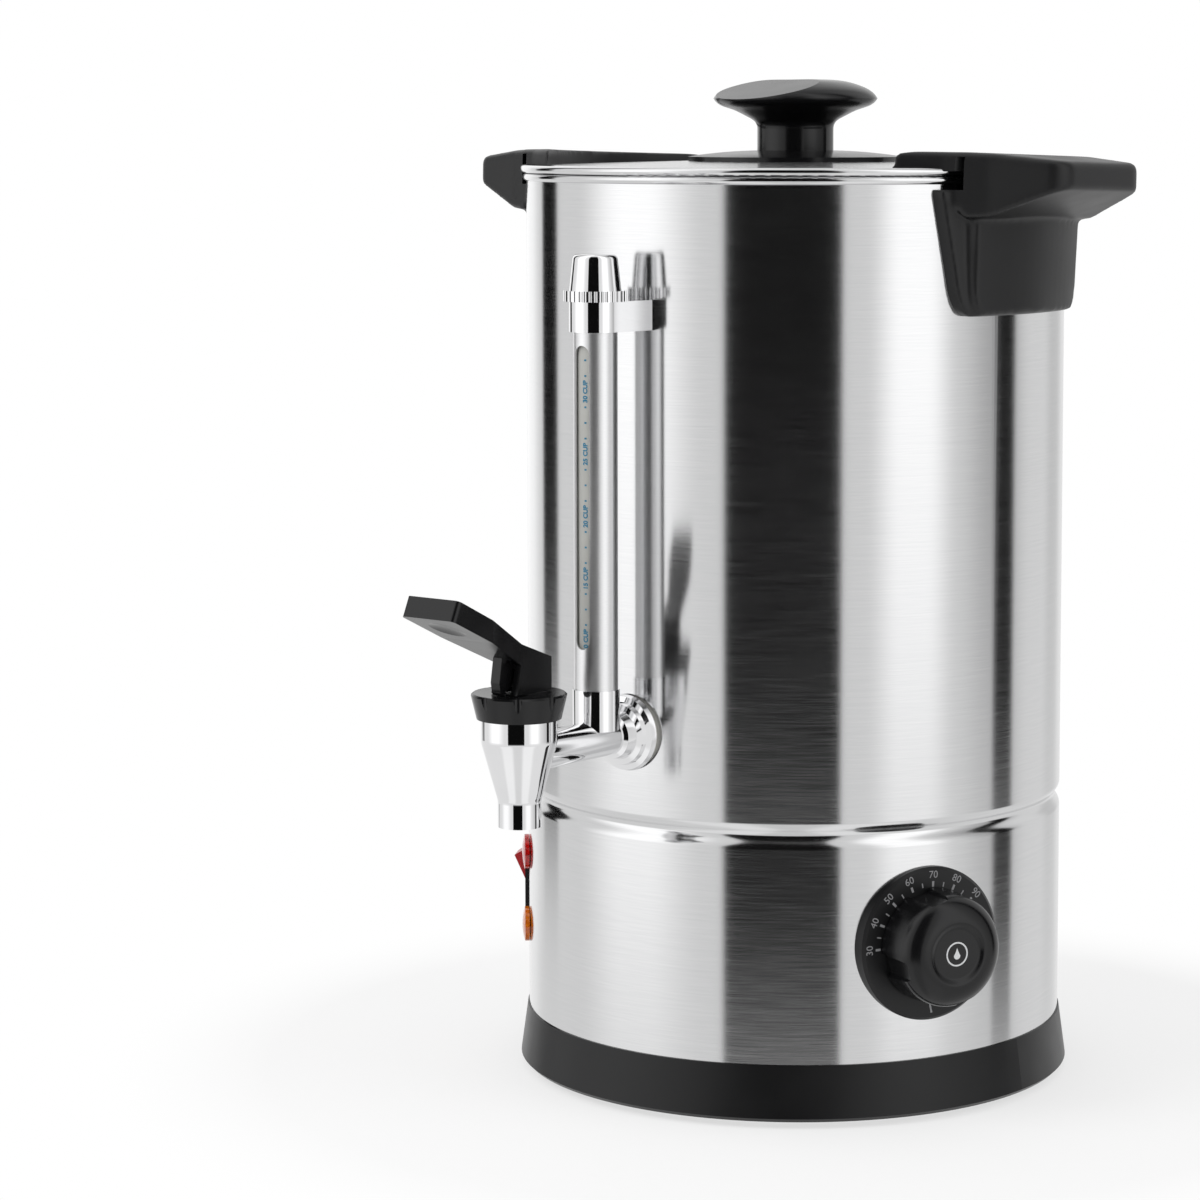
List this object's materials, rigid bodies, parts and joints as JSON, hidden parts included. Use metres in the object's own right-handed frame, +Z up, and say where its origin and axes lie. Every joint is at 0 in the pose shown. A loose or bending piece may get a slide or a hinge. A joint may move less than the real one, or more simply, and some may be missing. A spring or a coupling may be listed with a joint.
{
  "type": "coffee urn",
  "caption": "Double-walled steel drink urn with a black base and side handles, a lever tap, a sight gauge tube, a temperature dial, a rocker switch and a lift-off lid.",
  "frame": {"origin": "centre of the urn's round body on the plane its feet stand on", "axes": "+Z up along the body's axis, the tap faces -Y, the handles lie along X"},
  "size_m": [0.302, 0.3505, 0.4174],
  "materials": {
    "brushed_steel": "brushed along the circumference, satin",
    "tank_steel": "drawn sheet, fine matt",
    "chrome": "mirror plated",
    "black_plastic": "fine matt moulding",
    "black_gloss": "smooth moulding",
    "rubber": "matt",
    "silicone": "translucent white silicone",
    "glass": "clear tube",
    "aluminium": "rolled plate",
    "zinc": "zinc plated fasteners",
    "brass": "turned",
    "red_lens": "clear red moulding",
    "amber_lens": "clear amber moulding",
    "beige_plastic": "heat-proof moulding"
  },
  "bodies": {
    "urn": {"base_ring": "black_plastic", "bottom_plate": "tank_steel", "rubber_feet": "rubber", "base_screws": "zinc", "outer_shell": "brushed_steel", "inner_tank": "tank_steel", "heat_plate": "aluminium", "heating_element": "tank_steel", "boil_dry_cutout": "beige_plastic", "thermostat_bulb": "brass", "bulb_clip": "zinc", "terminal_block": "beige_plastic", "handle_left": "black_plastic", "handle_right": "black_plastic", "handle_screws": "zinc", "tap_shank": "chrome", "tap_gaskets": "silicone", "tap_tail_nut": "brass", "tap_body": "chrome", "tap_bonnet": "black_gloss", "tap_spring": "tank_steel", "gauge_shield": "brushed_steel", "gauge_glass": "glass", "gauge_collar": "chrome", "gauge_cap": "chrome", "gauge_seals": "silicone", "bracket_screw": "zinc", "dial_plate": "black_plastic", "thermostat_body": "beige_plastic", "dial_screws": "zinc", "red_lamp": "red_lens", "amber_lamp": "amber_lens", "lamp_nuts": "black_plastic", "rocker_bezel": "black_plastic", "cord_gland": "black_plastic", "gland_nut": "black_plastic"},
    "lid": {"lid": "brushed_steel", "lid_skirt": "black_gloss", "lid_knob": "black_gloss", "lid_screw": "zinc"},
    "lever": {"tap_lever": "black_plastic"},
    "stem": {"tap_stem": "black_plastic", "seat_cup": "silicone", "lever_pin": "zinc"},
    "dial": {"dial_knob": "black_gloss", "thermostat_spindle": "zinc"},
    "rocker": {"rocker": "red_lens"}
  },
  "joints": [
    {"name": "lid_lift", "type": "slide", "parent": "urn", "child": "lid", "axis": [0, 0, 1], "range_m": [0, 0.09]},
    {"name": "lever_tilt", "type": "hinge", "parent": "urn", "child": "lever", "pos_m": [0, -0.1925, 0.1822], "axis": [1, 0, 0], "range_deg": [0, 22], "stiffness_Nm_per_rad": 0.3, "springref_deg": -11.46},
    {"name": "stem_lift", "type": "slide", "parent": "urn", "child": "stem", "axis": [0, 0, 1], "range_m": [0, 0.0046], "deforming": ["tap_spring"]},
    {"name": "dial_turn", "type": "hinge", "parent": "urn", "child": "dial", "pos_m": [0.10199, -0.04865, 0.0724], "axis": [0.9026, -0.4305, 0], "range_deg": [-275, 0]},
    {"name": "rocker_flip", "type": "hinge", "parent": "urn", "child": "rocker", "pos_m": [-0.09541, -0.05847, 0.0756], "axis": [0.5225, -0.8526, 0], "range_deg": [-31, 0]}
  ],
  "couplings": [
    {"joint": "lever_tilt", "follows": "stem_lift", "rad_per_m": 83.333}
  ]
}
